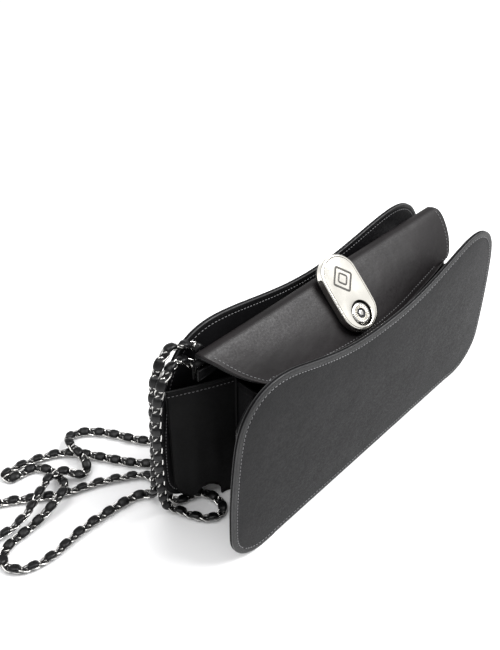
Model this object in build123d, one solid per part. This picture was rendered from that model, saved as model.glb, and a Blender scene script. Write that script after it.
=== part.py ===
from build123d import *
import os
from math import cos, radians, sin, sqrt, tan

os.makedirs("parts", exist_ok=True)

# Evening bag standing on a table: X runs along its length, the front faces -Y, +Z is up.
# The origin is the middle of the bag's footprint on the table. Millimetres.

# overall
HALF_LENGTH = 120.0
HALF_DEPTH = 28.75
CORNER_R = 25.0  # rounded bottom corners of the two outer panels

# outer panels: satin, board and lining inside a turned edge binding
PANEL_T = 2.6
SATIN_T = 0.9
LINING_T = 0.7
BINDING_W = 1.4
SIDE_START_Z = 30.0
FRONT_TOP = [
    (119.2, 58), (116.4, 86), (111.5, 103.5), (104, 112.5), (94, 117), (84, 117.3), (68, 113), (48, 106.3),
    (25, 101),
]
FRONT_DIP_Z = 99.4
BACK_TOP = [
    (119, 56), (116, 80), (111, 96.5), (104, 107.8), (95, 114.5), (84, 117.3), (70, 116.8), (48, 113),
    (25, 109),
]
BACK_DIP_Z = 107.2

# centre compartment
BASE_T = 1.2
BASE_HALF = 78.0
COMP_HALF = 78.0
FRONT_WALL = (-13.5, -12.0)
BACK_WALL = (13.6, 15.5)
FRONT_WALL_TOP = 74.0
BACK_WALL_TOP = 104.0
END_TOP = 84.0
END_T = 1.0

# folded end gussets: a leaf from each outer panel in to the compartment's end
LEAF_T = 1.0
LEAF_FOOT = 0.6
LEAF_BIND = 1.6
LEAF_CORNER = (22.0, 27.0)  # rounded outer foot
FRONT_LEAF = ((112.5, -25.0), (78.7, -2.0))
FRONT_LEAF_TOPS = (98.0, 78.8)
BACK_LEAF = ((115.0, 24.0), (78.7, 9.3))
BACK_LEAF_TOPS = (91.0, 89.0)
ARCH_R = 9.0
ARCH_MID = 19.5
ARCH_Z = 3.4

# flap: turns about the centre of its fold
HINGE_Y = 14.6
HINGE_Z = 107.0
FOLD_R = 5.0
FOLD_BACK_DEG = 67.0
SLOPE_LENGTH = 39.0
FLAP_SATIN = (0.0, 0.9)
FLAP_BOARD = (0.9, 1.9)
FLAP_LINING = (1.9, 2.7)
# X and Y of the flap's rounded ends seen from above: start, through and end of each
FLAP_LEFT = ((-99.5, 14.5), (-88.8, 1.3), (-71.5, -9.1))
FLAP_RIGHT = ((111.0, 8.5), (105.6, -2.4), (89.5, -8.8))
FLAP_TIP = (5.5, -17.4)
ROOT_ROLL_R = 2.0
ROOT_LEG = (15.6, 16.6)
ROOT_FOOT_Z = 97.0
ROOT_X = (-103.0, 110.0)

# clasp, measured down from the plate's top face
PLATE_Y = -2.1
PLATE_L = 47.0
PLATE_W = 27.0
PLATE_T = 4.6
PLATE_ROUND = 0.9
PAD_BOTTOM = 7.0
PLATE_CENTRE = (0.0, PLATE_Y, PLATE_Y + HINGE_Z - HINGE_Y + (FOLD_R + PAD_BOTTOM) * sqrt(2))
BACK_PLATE = (9.7, 10.3)
BACK_PLATE_SIZE = (32.0, 20.0)
BACK_PLATE_AT = -6.0
RIVET_AT = ((-7.0, 3.0), (7.0, 3.0))
RIVET_R = 1.2
RIVET_HEAD_R = 2.2
BUTTON_AT = -13.4
RECESS_R = 7.5
RECESS_DEPTH = 3.4
BUTTON_R = 6.6
BUTTON_TOP = 0.2
BUTTON_UNDER = 2.1
STEM_R = 2.0
STEM_END = 11.6
GUIDE_R = 2.08
CATCH = (12.9, 14.5)
CATCH_HALF = 16.0
CATCH_FOOT_Z = 50.0
SOCKET_R = 6.0
SOCKET_H = 2.2
SOCKET_BORE_R = 2.6
WASHER_T = 0.6

# eyelets for the strap in the flap's root
EYELET_X = (90.0, 98.2)
EYELET_Z = 101.1
EYELET_R = 3.8
BARREL_R = 3.1
BORE_R = 2.6
FLANGE_T = 0.5
ANCHOR_T = 1.2
ANCHOR_X = (58.0, 102.5)
ANCHOR_Z = (97.5, 104.0)

# strap: two strands of leather-laced chain, laid down to the table on the left
CORD_R = 2.3
ANCHORED_Y = BACK_WALL[0]
FLOOR = 2.6
ABOVE = 8.2
OUTER_STRAND = [
    (-90, ANCHORED_Y, EYELET_Z), (-90, 21.6, EYELET_Z), (-93.5, 23.2, 110), (-103, 24, 115),
    (-110.8, 24.4, 117.5), (-117.8, 24.4, 110.5), (-122, 24.4, 97), (-122.7, 25, 72),
    (-122.8, 28.3, 40), (-122.3, 32, 15), (-119.3, 39, FLOOR), (-125.8, 45, FLOOR), (-142.2, 47, FLOOR),
    (-163.2, 48.2, FLOOR), (-182.5, 44.7, FLOOR), (-199, 48.5, FLOOR), (-205.5, 59.5, FLOOR),
    (-198, 68.5, FLOOR), (-180, 69, FLOOR), (-163, 70, ABOVE), (-153.5, 74.5, ABOVE),
    (-150.3, 86.2, FLOOR), (-151.3, 96.5, FLOOR), (-156.5, 105, FLOOR), (-165, 106, FLOOR),
    (-173.5, 107.3, FLOOR), (-172.5, 114, FLOOR), (-159.5, 111.8, FLOOR), (-149, 108, FLOOR),
    (-139, 103.3, FLOOR), (-130.5, 93.5, FLOOR), (-121.6, 78.7, FLOOR), (-110, 60.3, FLOOR),
    (-94, 47.5, FLOOR), (-60, 44, FLOOR), (-15, 46, FLOOR), (35, 43, FLOOR), (85, 45, FLOOR),
    (113, 41, FLOOR), (125.5, 27, FLOOR + 5), (125.5, 20, 28), (124.5, 18, 62), (121.5, 20, 88),
    (112, 22.8, 98.8), (98.2, 22.8, EYELET_Z), (98.2, ANCHORED_Y, EYELET_Z),
]
INNER_STRAND = [
    (-98.2, ANCHORED_Y, EYELET_Z), (-98.2, 21.4, EYELET_Z), (-104.5, 21.8, 108), (-113.3, 19.8, 110.4),
    (-121, 18.8, 104), (-125.2, 19.6, 86), (-125.3, 20.8, 55), (-123.6, 24.2, 20.5),
    (-119.7, 26.6, FLOOR + 1), (-115.6, 18.4, FLOOR), (-112.2, 9.2, FLOOR), (-105.5, 0.8, FLOOR),
    (-97, 1, FLOOR), (-94.5, 10.2, FLOOR), (-99, 22.2, FLOOR), (-111.5, 22.4, FLOOR),
    (-115, 32.5, FLOOR), (-110.4, 51.6, FLOOR), (-123, 60.4, FLOOR), (-137.5, 69, FLOOR),
    (-155.5, 75.4, FLOOR), (-171.5, 87, FLOOR), (-188, 99, FLOOR), (-204.5, 98.5, FLOOR),
    (-210.5, 84.5, FLOOR), (-198.7, 76, FLOOR), (-186, 74, FLOOR + 3), (-177, 75.5, ABOVE),
    (-169.5, 80, ABOVE), (-161.5, 85.3, ABOVE), (-154, 88.2, ABOVE), (-146.8, 85, ABOVE),
    (-141.5, 78, FLOOR + 1), (-135.5, 79.8, FLOOR), (-133, 86, FLOOR + 3), (-134, 93.5, ABOVE),
    (-133.5, 103.5, ABOVE), (-127.5, 110.5, FLOOR + 1), (-118, 107, FLOOR), (-107.5, 93.8, FLOOR),
    (-98.5, 74.5, FLOOR), (-82, 59, FLOOR), (-45, 54, FLOOR), (5, 57, FLOOR), (55, 53, FLOOR),
    (100, 56, FLOOR), (128, 45, FLOOR), (132, 26, FLOOR + 4), (130.5, 14, 26), (128.5, 11.5, 58),
    (123.5, 13.5, 84), (113.5, 16.6, 94.2), (100.5, 22.8, 94.4), (90, 22.8, EYELET_Z),
    (90, ANCHORED_Y, EYELET_Z),
]

SIDE_PLANE = Plane(origin=(0, 0, 0), x_dir=(0, 1, 0), z_dir=(1, 0, 0))
HINGE_PLANE = Plane(origin=(0, HINGE_Y, HINGE_Z), x_dir=(0, 1, 0), z_dir=(1, 0, 0))
CLASP_PLANE = Plane(origin=PLATE_CENTRE, x_dir=(1, 0, 0), z_dir=(0, -1, 1))


def save(name, shape):
    shape.label = name
    export_step(shape, f"parts/{name}.step")


def box(x, y, z):
    """Block between low and high values along each axis."""
    size = [high - low for low, high in (x, y, z)]
    return Pos(x[0], y[0], z[0]) * Box(*size, align=(Align.MIN, Align.MIN, Align.MIN))


def mirrored(shape):
    return mirror(shape, about=Plane.YZ)


# outer panels

def crest_line(top, dip_z, inset):
    """Top edge from the right side over to the left, moved inwards along its own normals."""
    right = [(HALF_LENGTH, SIDE_START_Z)] + top
    points = right + [(0, dip_z)] + [(-x, z) for x, z in reversed(right)]
    ends = ((0, 1), (0, -1))
    crest = Spline(*points, tangents=ends)
    if not inset:
        return crest
    moved = []
    for point in points:
        along = crest.tangent_at(crest.param_at_point(point))
        moved.append(Vector(*point) + Vector(-along.Y, along.X) * inset)
    return Spline(*moved, tangents=ends)


def panel_face(top, dip_z, inset=0.0):
    """Panel outline in the XZ plane: two humps over a dip, rounded bottom corners."""
    crest = crest_line(top, dip_z, inset)
    side = HALF_LENGTH - inset
    flat = HALF_LENGTH - CORNER_R
    radius = CORNER_R - inset
    lines = [
        crest,
        Line((-side, SIDE_START_Z), (-side, CORNER_R)),
        CenterArc((-flat, CORNER_R), radius, 180, 90),
        Line((-flat, inset), (flat, inset)),
        CenterArc((flat, CORNER_R), radius, 270, 90),
        Line((side, CORNER_R), (side, SIDE_START_Z)),
    ]
    return make_face(lines)


def slab(face, y_low, y_high):
    """Face drawn on XZ, given thickness between two Y values."""
    return Pos(0, y_high, 0) * extrude(Plane.XZ * face, amount=y_high - y_low)


def outer_panel(name, top, dip_z, outside):
    """Satin, board, lining and edge binding; outside is -1 for the front, 1 for the back."""
    full = panel_face(top, dip_z)
    inner = panel_face(top, dip_z, BINDING_W)
    depths = {
        "satin": (inner, 0, SATIN_T),
        "board": (inner, SATIN_T, PANEL_T - LINING_T),
        "lining": (inner, PANEL_T - LINING_T, PANEL_T),
        "binding": (full - inner, 0, PANEL_T),
    }
    for part, (face, near, far) in depths.items():
        ys = sorted(outside * (HALF_DEPTH - depth) for depth in (near, far))
        save(f"{name}_{part}", slab(face, *ys))


# base, compartment and gussets

def compartment():
    inner_y = (FRONT_WALL[1], BACK_WALL[0])
    wall_x = (-COMP_HALF, COMP_HALF)
    edge = HALF_DEPTH - PANEL_T - 0.5
    save("base_panel", box((-BASE_HALF, BASE_HALF), (-edge, edge), (0, BASE_T)))
    save("compartment_front_wall", box(wall_x, FRONT_WALL, (BASE_T, FRONT_WALL_TOP)))
    save("compartment_back_wall", box(wall_x, BACK_WALL, (BASE_T, BACK_WALL_TOP)))
    floor_x = (-COMP_HALF + END_T, COMP_HALF - END_T)
    save("compartment_floor_lining", box(floor_x, inner_y, (BASE_T, BASE_T + 0.8)))
    front, back = inner_y
    corners = [(front, BASE_T), (front, FRONT_WALL_TOP), (-4, END_TOP), (back, END_TOP), (back, BASE_T)]
    profile = Polyline(*corners, close=True)
    end = Pos(COMP_HALF - END_T, 0, 0) * extrude(SIDE_PLANE * make_face(profile), amount=END_T)
    save("compartment_right_end", end)
    save("compartment_left_end", mirrored(end))


def leaf_plane(ends):
    """Upright plane along a gusset leaf, its X measured inwards from the outer panel."""
    (x0, y0), (x1, y1) = ends
    along = Vector(x1 - x0, y1 - y0, 0).normalized()
    return Plane(origin=(x0, y0, 0), x_dir=along, z_dir=along.cross(Vector(0, 0, 1)))


def gusset_leaf(ends, tops):
    """Leaf with an arched foot, and the bound edge along its top."""
    plane = leaf_plane(ends)
    length = (Vector(*ends[1]) - Vector(*ends[0])).length
    outer_top, inner_top = tops
    low = LEAF_BIND
    body = Polyline((0, LEAF_FOOT), (0, outer_top - low), (length, inner_top - low), (length, LEAF_FOOT),
                    close=True)
    rounded = Pos(*LEAF_CORNER) * Ellipse(*LEAF_CORNER)
    corner = Pos(0, LEAF_FOOT) * (Rectangle(2 * LEAF_CORNER[0], 2 * LEAF_CORNER[1]) - rounded)
    arch = Pos(ARCH_MID, ARCH_Z) * Circle(ARCH_R) + Pos(ARCH_MID, 0) * Rectangle(2 * ARCH_R, 2 * ARCH_Z)
    leaf = extrude(plane * (make_face(body) - arch - corner), amount=LEAF_T / 2, both=True)
    strip = Polyline((0, outer_top - low), (0, outer_top), (length, inner_top), (length, inner_top - low),
                     close=True)
    edge = extrude(plane * make_face(strip), amount=LEAF_BIND / 2, both=True)
    return leaf, edge


def gussets():
    for where, ends, tops in (("front", FRONT_LEAF, FRONT_LEAF_TOPS), ("back", BACK_LEAF, BACK_LEAF_TOPS)):
        leaf, edge = gusset_leaf(ends, tops)
        save(f"gusset_right_{where}", leaf)
        save(f"gusset_right_{where}_binding", edge)
        save(f"gusset_left_{where}", mirrored(leaf))
        save(f"gusset_left_{where}_binding", mirrored(edge))


# flap

def polar(radius, degrees):
    return Vector(radius * cos(radians(degrees)), radius * sin(radians(degrees)))


def flap_layer(near, far, inset):
    """One layer of the flap between two depths under its outer face."""
    outer, inner = FOLD_R - near, FOLD_R - far
    sweep_deg = 135 - FOLD_BACK_DEG
    down = polar(SLOPE_LENGTH - inset, 225)
    lines = [
        CenterArc((0, 0), outer, FOLD_BACK_DEG, sweep_deg),
        Line(polar(outer, 135), polar(outer, 135) + down),
        Line(polar(outer, 135) + down, polar(inner, 135) + down),
        Line(polar(inner, 135) + down, polar(inner, 135)),
        CenterArc((0, 0), inner, FOLD_BACK_DEG, sweep_deg),
        Line(polar(inner, FOLD_BACK_DEG), polar(outer, FOLD_BACK_DEG)),
    ]
    strip = extrude(HINGE_PLANE * make_face(lines), amount=HALF_LENGTH, both=True)
    return strip & (Pos(0, 0, 60) * extrude(flap_plan(inset), amount=70))


def flap_plan(inset):
    """Flap outline seen from above, with rounded ends and a bowed front edge."""
    left = [(x + inset, y + inset) for x, y in FLAP_LEFT]
    right = [(x - inset, y + inset) for x, y in FLAP_RIGHT]
    lines = [
        ThreePointArc(*right),
        ThreePointArc(right[2], (FLAP_TIP[0], FLAP_TIP[1] + inset), left[2]),
        ThreePointArc(*left[::-1]),
        Polyline(left[0], (left[0][0], 22), (right[0][0], 22), right[0]),
    ]
    return make_face(lines)


def flap_root():
    """Strip sewn to the compartment's back wall, rolled at the top where the flap folds over."""
    leg = box(ROOT_X, ROOT_LEG, (ROOT_FOOT_Z, HINGE_Z))
    roll = Pos(ROOT_X[0], 0, 0) * extrude(HINGE_PLANE * Circle(ROOT_ROLL_R), amount=ROOT_X[1] - ROOT_X[0])
    root = leg + roll
    for x in (*EYELET_X, *[-x for x in EYELET_X]):
        root -= Pos(x, ROOT_LEG[0] - 1, EYELET_Z) * Rot(-90, 0, 0) * bored(BARREL_R, 0, 3)
    return root


def bored(radius, bore, height):
    """Upright disc on z = 0, with a through bore if one is given."""
    face = Circle(radius)
    if bore:
        face -= Circle(bore)
    return extrude(face, amount=height)


def clasp_disc(x, y, radius, near, far, bore=0):
    """Disc lying in the clasp's plane between two depths under the plate's top face."""
    return CLASP_PLANE * (Pos(x, y, -far) * bored(radius, bore, far - near))


def clasp_slot(length, width, near, far, at=0.0):
    shape = Pos(0, at, -far) * extrude(SlotOverall(length, width, rotation=90), amount=far - near)
    return CLASP_PLANE * shape


def flap():
    stem = clasp_disc(0, BUTTON_AT, GUIDE_R + 0.2, PLATE_T, BACK_PLATE[1] + 1)
    shanks = [clasp_disc(x, y, RIVET_R, 3.0, BACK_PLATE[1]) for x, y in RIVET_AT]
    layers = {"satin": (FLAP_SATIN, 0), "board": (FLAP_BOARD, 2.0), "lining": (FLAP_LINING, 0)}
    for name, ((near, far), inset) in layers.items():
        save(f"flap_{name}", flap_layer(near, far, inset) - stem - shanks[0] - shanks[1])
    save("flap_root", flap_root())

    recess = clasp_disc(0, BUTTON_AT, RECESS_R, -1, RECESS_DEPTH)
    guide = clasp_disc(0, BUTTON_AT, GUIDE_R, 0, PLATE_T + 1)
    plate = clasp_slot(PLATE_L, PLATE_W, 0, PLATE_T)
    top = plate.faces().filter_by(CLASP_PLANE).sort_by(SortBy.AREA)[-2:]
    rim = max(top, key=lambda face: face.center().Z).edges()
    plate = fillet(rim, PLATE_ROUND) - recess - guide - shanks[0] - shanks[1]
    save("clasp_plate", plate)
    pad = clasp_slot(PLATE_L - 1.2, PLATE_W - 1.2, PLATE_T, PAD_BOTTOM)
    save("clasp_pad", pad - stem - shanks[0] - shanks[1])
    back = clasp_slot(*BACK_PLATE_SIZE, *BACK_PLATE, at=BACK_PLATE_AT)
    save("clasp_back_plate", back - stem - shanks[0] - shanks[1])
    for name, shank, (x, y) in zip(("left", "right"), shanks, RIVET_AT):
        head = clasp_disc(x, y, RIVET_HEAD_R, BACK_PLATE[1], BACK_PLATE[1] + 0.6)
        save(f"clasp_rivet_{name}", shank + head)


def button():
    cap = clasp_disc(0, BUTTON_AT, BUTTON_R, BUTTON_TOP, BUTTON_UNDER)
    stem = clasp_disc(0, BUTTON_AT, STEM_R, BUTTON_UNDER, STEM_END)
    save("clasp_button", cap + stem)


def catch():
    """Stiff tab on the front wall that carries the clasp's socket."""
    depth = CATCH[1] - CATCH[0]
    rise = PLATE_CENTRE[2] - PLATE_CENTRE[1] - CATCH[0] * sqrt(2)
    y_out, y_in = FRONT_WALL[0] - depth, FRONT_WALL[0]
    top_y = 3.9
    under = rise - depth * sqrt(2)
    outline = Polyline((y_out, CATCH_FOOT_Z), (y_out, rise + y_out), (top_y, rise + top_y),
                       (top_y + depth / sqrt(2), rise + top_y - depth / sqrt(2)), (y_in, under + y_in),
                       (y_in, CATCH_FOOT_Z), close=True)
    tab = extrude(SIDE_PLANE * make_face(outline), amount=CATCH_HALF, both=True)
    save("catch_tab", tab)
    save("clasp_socket", clasp_disc(0, BUTTON_AT, SOCKET_R, CATCH[0] - SOCKET_H, CATCH[0], SOCKET_BORE_R))
    save("clasp_socket_washer", clasp_disc(0, BUTTON_AT, SOCKET_R, CATCH[1], CATCH[1] + WASHER_T))


# eyelets and strap

def eyelet(x):
    """Two flanges gripping the flap's root, joined by a bored barrel."""
    thick = ROOT_LEG[1] - ROOT_LEG[0]
    flange = bored(EYELET_R, BORE_R, FLANGE_T)
    barrel = bored(BARREL_R, BORE_R, thick)
    ring = flange + Pos(0, 0, FLANGE_T) * barrel + Pos(0, 0, FLANGE_T + thick) * flange
    return Pos(x, ROOT_LEG[0] - FLANGE_T, EYELET_Z) * Rot(-90, 0, 0) * ring


def eyelets():
    for which, x in zip(("inner", "outer"), EYELET_X):
        ring = eyelet(x)
        save(f"eyelet_right_{which}", ring)
        save(f"eyelet_left_{which}", mirrored(ring))
    anchor = box(ANCHOR_X, (BACK_WALL[0] - ANCHOR_T, BACK_WALL[0]), ANCHOR_Z)
    save("strap_anchor_right", anchor)
    save("strap_anchor_left", mirrored(anchor))


def strand(name, points):
    """Round strand swept along straight runs joined by tangent arcs."""
    radii = []
    for a, b, c in zip(points, points[1:], points[2:]):
        before = Vector(*b) - Vector(*a)
        after = Vector(*c) - Vector(*b)
        half_turn = radians(before.get_angle(after)) / 2
        radii.append(0.45 * min(before.length, after.length) / tan(half_turn))
    path = FilletPolyline(*points, radius=radii)
    section = Plane(origin=points[0], z_dir=path % 0) * Circle(CORD_R)
    tube = sweep(section, path=path)
    print(name, "radii", [round(r, 1) for r in radii])
    print(name, "length", round(path.length), "volume ratio",
          round(tube.volume / (path.length * section.area), 4))
    save(name, tube)


outer_panel("front_panel", FRONT_TOP, FRONT_DIP_Z, -1)
outer_panel("back_panel", BACK_TOP, BACK_DIP_Z, 1)
compartment()
gussets()
flap()
button()
catch()
eyelets()
strand("strap_strand_outer", OUTER_STRAND)
strand("strap_strand_inner", INNER_STRAND)
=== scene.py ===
import math

import bpy
import numpy as np
from mathutils import Matrix, Vector


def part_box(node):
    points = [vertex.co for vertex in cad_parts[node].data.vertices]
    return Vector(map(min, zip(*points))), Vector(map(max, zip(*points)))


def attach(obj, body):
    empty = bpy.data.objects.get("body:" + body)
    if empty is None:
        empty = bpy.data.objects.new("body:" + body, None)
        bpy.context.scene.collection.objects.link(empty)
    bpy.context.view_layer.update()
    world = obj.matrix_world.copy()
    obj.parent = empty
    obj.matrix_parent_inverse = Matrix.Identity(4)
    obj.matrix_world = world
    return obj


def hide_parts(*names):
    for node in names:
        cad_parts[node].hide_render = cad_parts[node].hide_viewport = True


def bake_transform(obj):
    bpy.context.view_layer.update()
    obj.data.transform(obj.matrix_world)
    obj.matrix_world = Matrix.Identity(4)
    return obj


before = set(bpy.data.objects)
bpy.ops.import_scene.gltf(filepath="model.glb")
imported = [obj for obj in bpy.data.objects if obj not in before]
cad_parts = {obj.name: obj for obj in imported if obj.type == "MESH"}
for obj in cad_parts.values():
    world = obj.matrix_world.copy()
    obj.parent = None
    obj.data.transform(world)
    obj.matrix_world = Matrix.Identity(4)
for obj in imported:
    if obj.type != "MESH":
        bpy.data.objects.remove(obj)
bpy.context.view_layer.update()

# Lengths below are millimetres in the row frame: X along the bag, -Y to the front, +Z up.
MM = 0.001
DIAGONAL = math.sqrt(0.5)  # share of a length at 45 degrees along either axis


# ---- camera, floor and lights

CAMERA_AT = (-276.8, -194.1, 352.7)
CAMERA_YAW = 45.6  # degrees from +Y towards +X
CAMERA_PITCH = 35.1  # degrees below the horizon
CAMERA_ROLL = 0.2
SENSOR_MM = 36
FOCAL_SHARE = 1.1283077  # focal length over the picture's long side
SHIFT_UP = -0.0781538  # share of the long side
FLOOR_SUNK_M = 0.0002  # so that no face of the bag lies in the floor
WORLD_STRENGTH = 0.62
LIGHTS = [  # name, direction from the bag, distance and size in metres, power in watts
    ("key", (0.42, -0.42, 0.80), 1.5, 0.8, 30),
    ("top", (-0.35, 0.1, 1.0), 1.6, 1.2, 14),
    ("plate_fill", (0.62, -0.50, 0.60), 1.5, 0.9, 0.8),
]
LIGHTS_AIM_M = (0, 0, 0.06)


def make_camera():
    yaw, pitch = math.radians(CAMERA_YAW), math.radians(CAMERA_PITCH)
    forward = Vector((math.sin(yaw) * math.cos(pitch), math.cos(yaw) * math.cos(pitch), -math.sin(pitch)))
    right = Vector((math.cos(yaw), -math.sin(yaw), 0))
    up = right.cross(forward)
    roll = math.radians(CAMERA_ROLL)
    level_right, level_up = right, up
    right = level_right * math.cos(roll) + level_up * math.sin(roll)
    up = level_up * math.cos(roll) - level_right * math.sin(roll)
    data = bpy.data.cameras.new("camera")
    data.sensor_width = SENSOR_MM
    data.lens = SENSOR_MM * FOCAL_SHARE
    data.shift_y = SHIFT_UP
    data.clip_start, data.clip_end = 0.01, 50
    camera = bpy.data.objects.new("camera", data)
    camera.matrix_world = Matrix((
        (right.x, up.x, -forward.x, CAMERA_AT[0] * MM),
        (right.y, up.y, -forward.y, CAMERA_AT[1] * MM),
        (right.z, up.z, -forward.z, CAMERA_AT[2] * MM),
        (0, 0, 0, 1),
    ))
    bpy.context.scene.collection.objects.link(camera)
    bpy.context.scene.camera = camera


def make_floor():
    data = bpy.data.meshes.new("floor")
    half = 6.0  # metres
    corners = [(-half, -half), (half, -half), (half, half), (-half, half)]
    data.from_pydata([(x, y, -FLOOR_SUNK_M) for x, y in corners], [], [(0, 1, 2, 3)])
    floor = bpy.data.objects.new("floor", data)
    bpy.context.scene.collection.objects.link(floor)
    paper, _, _ = new_material("floor_paper", (0.92, 0.92, 0.925), 0.9, 0.1)
    data.materials.append(paper)


def area_light(name, direction, distance, size, power):
    """Square soft box that looks at the bag's middle from a direction."""
    away = Vector(direction).normalized()
    data = bpy.data.lights.new(name, "AREA")
    data.size = size
    data.energy = power
    light = bpy.data.objects.new(name, data)
    light.location = Vector(LIGHTS_AIM_M) + away * distance
    light.rotation_mode = "QUATERNION"
    light.rotation_quaternion = away.to_track_quat("Z", "Y")
    bpy.context.scene.collection.objects.link(light)


def make_lights():
    world = bpy.data.worlds.new("studio")
    world.use_nodes = True
    set_inputs(world.node_tree.nodes["Background"], {"Color": (1, 1, 1, 1), "Strength": WORLD_STRENGTH})
    bpy.context.scene.world = world
    for light in LIGHTS:
        area_light(*light)
    bpy.context.scene.view_settings.view_transform = "Standard"


# ---- materials

WAVE_BAND = 0.314  # width of one band of the wave texture at a scale of 1


def set_inputs(node, values):
    for slot, value in values.items():
        node.inputs[slot].default_value = value


def new_material(name, color, roughness, specular=0.5, metallic=0.0):
    """Principled material and the parts of its tree that the surfaces below need."""
    material = bpy.data.materials.new(name)
    material.use_nodes = True
    shader = material.node_tree.nodes["Principled BSDF"]
    set_inputs(shader, {"Base Color": (*color, 1), "Roughness": roughness, "Specular IOR Level": specular,
                        "Metallic": metallic})
    return material, material.node_tree, shader


def coordinates(tree, scale, turn=(0, 0, 0)):
    """Object coordinates in millimetres, scaled and turned."""
    source = tree.nodes.new("ShaderNodeTexCoord")
    mapping = tree.nodes.new("ShaderNodeMapping")
    set_inputs(mapping, {"Scale": [v / MM for v in scale], "Rotation": turn})
    tree.links.new(source.outputs["Object"], mapping.inputs["Vector"])
    return mapping.outputs["Vector"]


def noise(tree, scale, detail=3.0, rough=0.55, turn=(0, 0, 0)):
    node = tree.nodes.new("ShaderNodeTexNoise")
    set_inputs(node, {"Scale": 1, "Detail": detail, "Roughness": rough})
    tree.links.new(coordinates(tree, scale, turn), node.inputs["Vector"])
    return node.outputs[0]


def weave(tree, pitch, turn):
    """Threads one way: bands about a pitch apart, slightly uneven."""
    node = tree.nodes.new("ShaderNodeTexWave")
    set_inputs(node, {"Scale": WAVE_BAND / pitch, "Distortion": 0.6, "Detail": 1})
    tree.links.new(coordinates(tree, (1, 1, 1), turn), node.inputs["Vector"])
    return node.outputs["Fac"]


def product(tree, a, b):
    node = tree.nodes.new("ShaderNodeMath")
    node.operation = "MULTIPLY"
    tree.links.new(a, node.inputs[0])
    tree.links.new(b, node.inputs[1])
    return node.outputs[0]


def spread(tree, source, low, high):
    """Source from 0.3 to 0.7 mapped to a range."""
    node = tree.nodes.new("ShaderNodeMapRange")
    set_inputs(node, {"From Min": 0.3, "From Max": 0.7, "To Min": low, "To Max": high})
    tree.links.new(source, node.inputs["Value"])
    return node.outputs["Result"]


def mottled(tree, shader, source, dark, light):
    """Base colour between two shades."""
    node = tree.nodes.new("ShaderNodeMix")
    node.data_type = "RGBA"
    node.inputs["A"].default_value = (*dark, 1)
    node.inputs["B"].default_value = (*light, 1)
    tree.links.new(spread(tree, source, 0, 1), node.inputs["Factor"])
    tree.links.new(node.outputs["Result"], shader.inputs["Base Color"])


def bumped(tree, shader, heights):
    """Chain of bumps; heights are (source, strength, distance in mm)."""
    previous = None
    for source, strength, distance in heights:
        node = tree.nodes.new("ShaderNodeBump")
        set_inputs(node, {"Strength": strength, "Distance": distance * MM})
        tree.links.new(source, node.inputs["Height"])
        if previous:
            tree.links.new(previous, node.inputs["Normal"])
        previous = node.outputs["Normal"]
    tree.links.new(previous, shader.inputs["Normal"])


def cloth(name, dark, light, roughness, specular, pitch=0.42, strength=0.35):
    """Woven fabric: crossed threads a pitch apart in mm, soft mottling and slight ripples."""
    material, tree, shader = new_material(name, dark, roughness, specular)
    cloud = noise(tree, (0.035, 0.035, 0.035))
    mottled(tree, shader, cloud, dark, light)
    fine = noise(tree, (0.9, 0.9, 0.9), 2)
    tree.links.new(spread(tree, fine, roughness - 0.07, roughness + 0.07), shader.inputs["Roughness"])
    threads = product(tree, weave(tree, pitch, (0, 0, 0)), weave(tree, pitch * 1.1, (0.6, 0, math.pi / 2)))
    bumped(tree, shader, [(cloud, 0.25, 2.5), (threads, strength, 0.12), (fine, 0.12, 0.2)])
    return material


def leather(name, dark, light, roughness, specular=0.4, grain=1.1):
    """Grained leather with fine creases."""
    material, tree, shader = new_material(name, dark, roughness, specular)
    cell = tree.nodes.new("ShaderNodeTexVoronoi")
    cell.inputs["Scale"].default_value = 1
    tree.links.new(coordinates(tree, (grain, grain, grain)), cell.inputs["Vector"])
    crease = noise(tree, (0.5, 0.5, 0.5), 4)
    mottled(tree, shader, crease, dark, light)
    tree.links.new(spread(tree, crease, roughness - 0.08, roughness + 0.1), shader.inputs["Roughness"])
    bumped(tree, shader, [(crease, 0.3, 0.5), (cell.outputs["Distance"], 0.2, 0.15)])
    return material


def metal(name, color, roughness, scratch=(0.06, 3.0, 3.0), strength=0.05):
    """Plated metal with hairline scratches along X and faint smudges."""
    material, tree, shader = new_material(name, color, roughness, metallic=1.0)
    smudge = noise(tree, (0.08, 0.08, 0.08))
    lines = noise(tree, scratch, 2, turn=(0.4, 0.1, 0.2))
    mottled(tree, shader, smudge, [0.93 * v for v in color], color)
    tree.links.new(spread(tree, smudge, roughness * 0.8, roughness * 1.5), shader.inputs["Roughness"])
    bumped(tree, shader, [(lines, strength, 0.05)])
    return material


SATIN = cloth("satin", (0.0042, 0.0042, 0.0047), (0.0082, 0.0080, 0.0088), 0.5, 0.10, 0.5, 0.25)
# painted sheen: the flap is the panels' satin, given a lighter, warmer colour for the sheen its slope catches
FLAP_SATIN_SHEEN = cloth("flap_satin", (0.0052, 0.0042, 0.0046), (0.0092, 0.0074, 0.0080), 0.44, 0.26, 0.5, 0.08)
BINDING = cloth("binding", (0.0048, 0.0048, 0.0052), (0.0085, 0.0085, 0.0090), 0.42, 0.18)
# painted highlight: the rounded turned edges are the panels' satin, given a lighter colour for the light they
# catch
TURNED_EDGE_HIGHLIGHT = cloth("turned_edge_highlight", (0.020, 0.020, 0.021), (0.034, 0.034, 0.035), 0.4, 0.3)
# painted shade: a duller cloth for the gussets and the bag's inside, darker in colour for the shade that
# falls inside the bag
SHADED_GUSSET = cloth("gusset", (0.0036, 0.0036, 0.0038), (0.0060, 0.0060, 0.0062), 0.6, 0.08)
LINING = cloth("lining", (0.0035, 0.0035, 0.0040), (0.0060, 0.0060, 0.0065), 0.65, 0.08, 0.7, 0.2)
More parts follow.
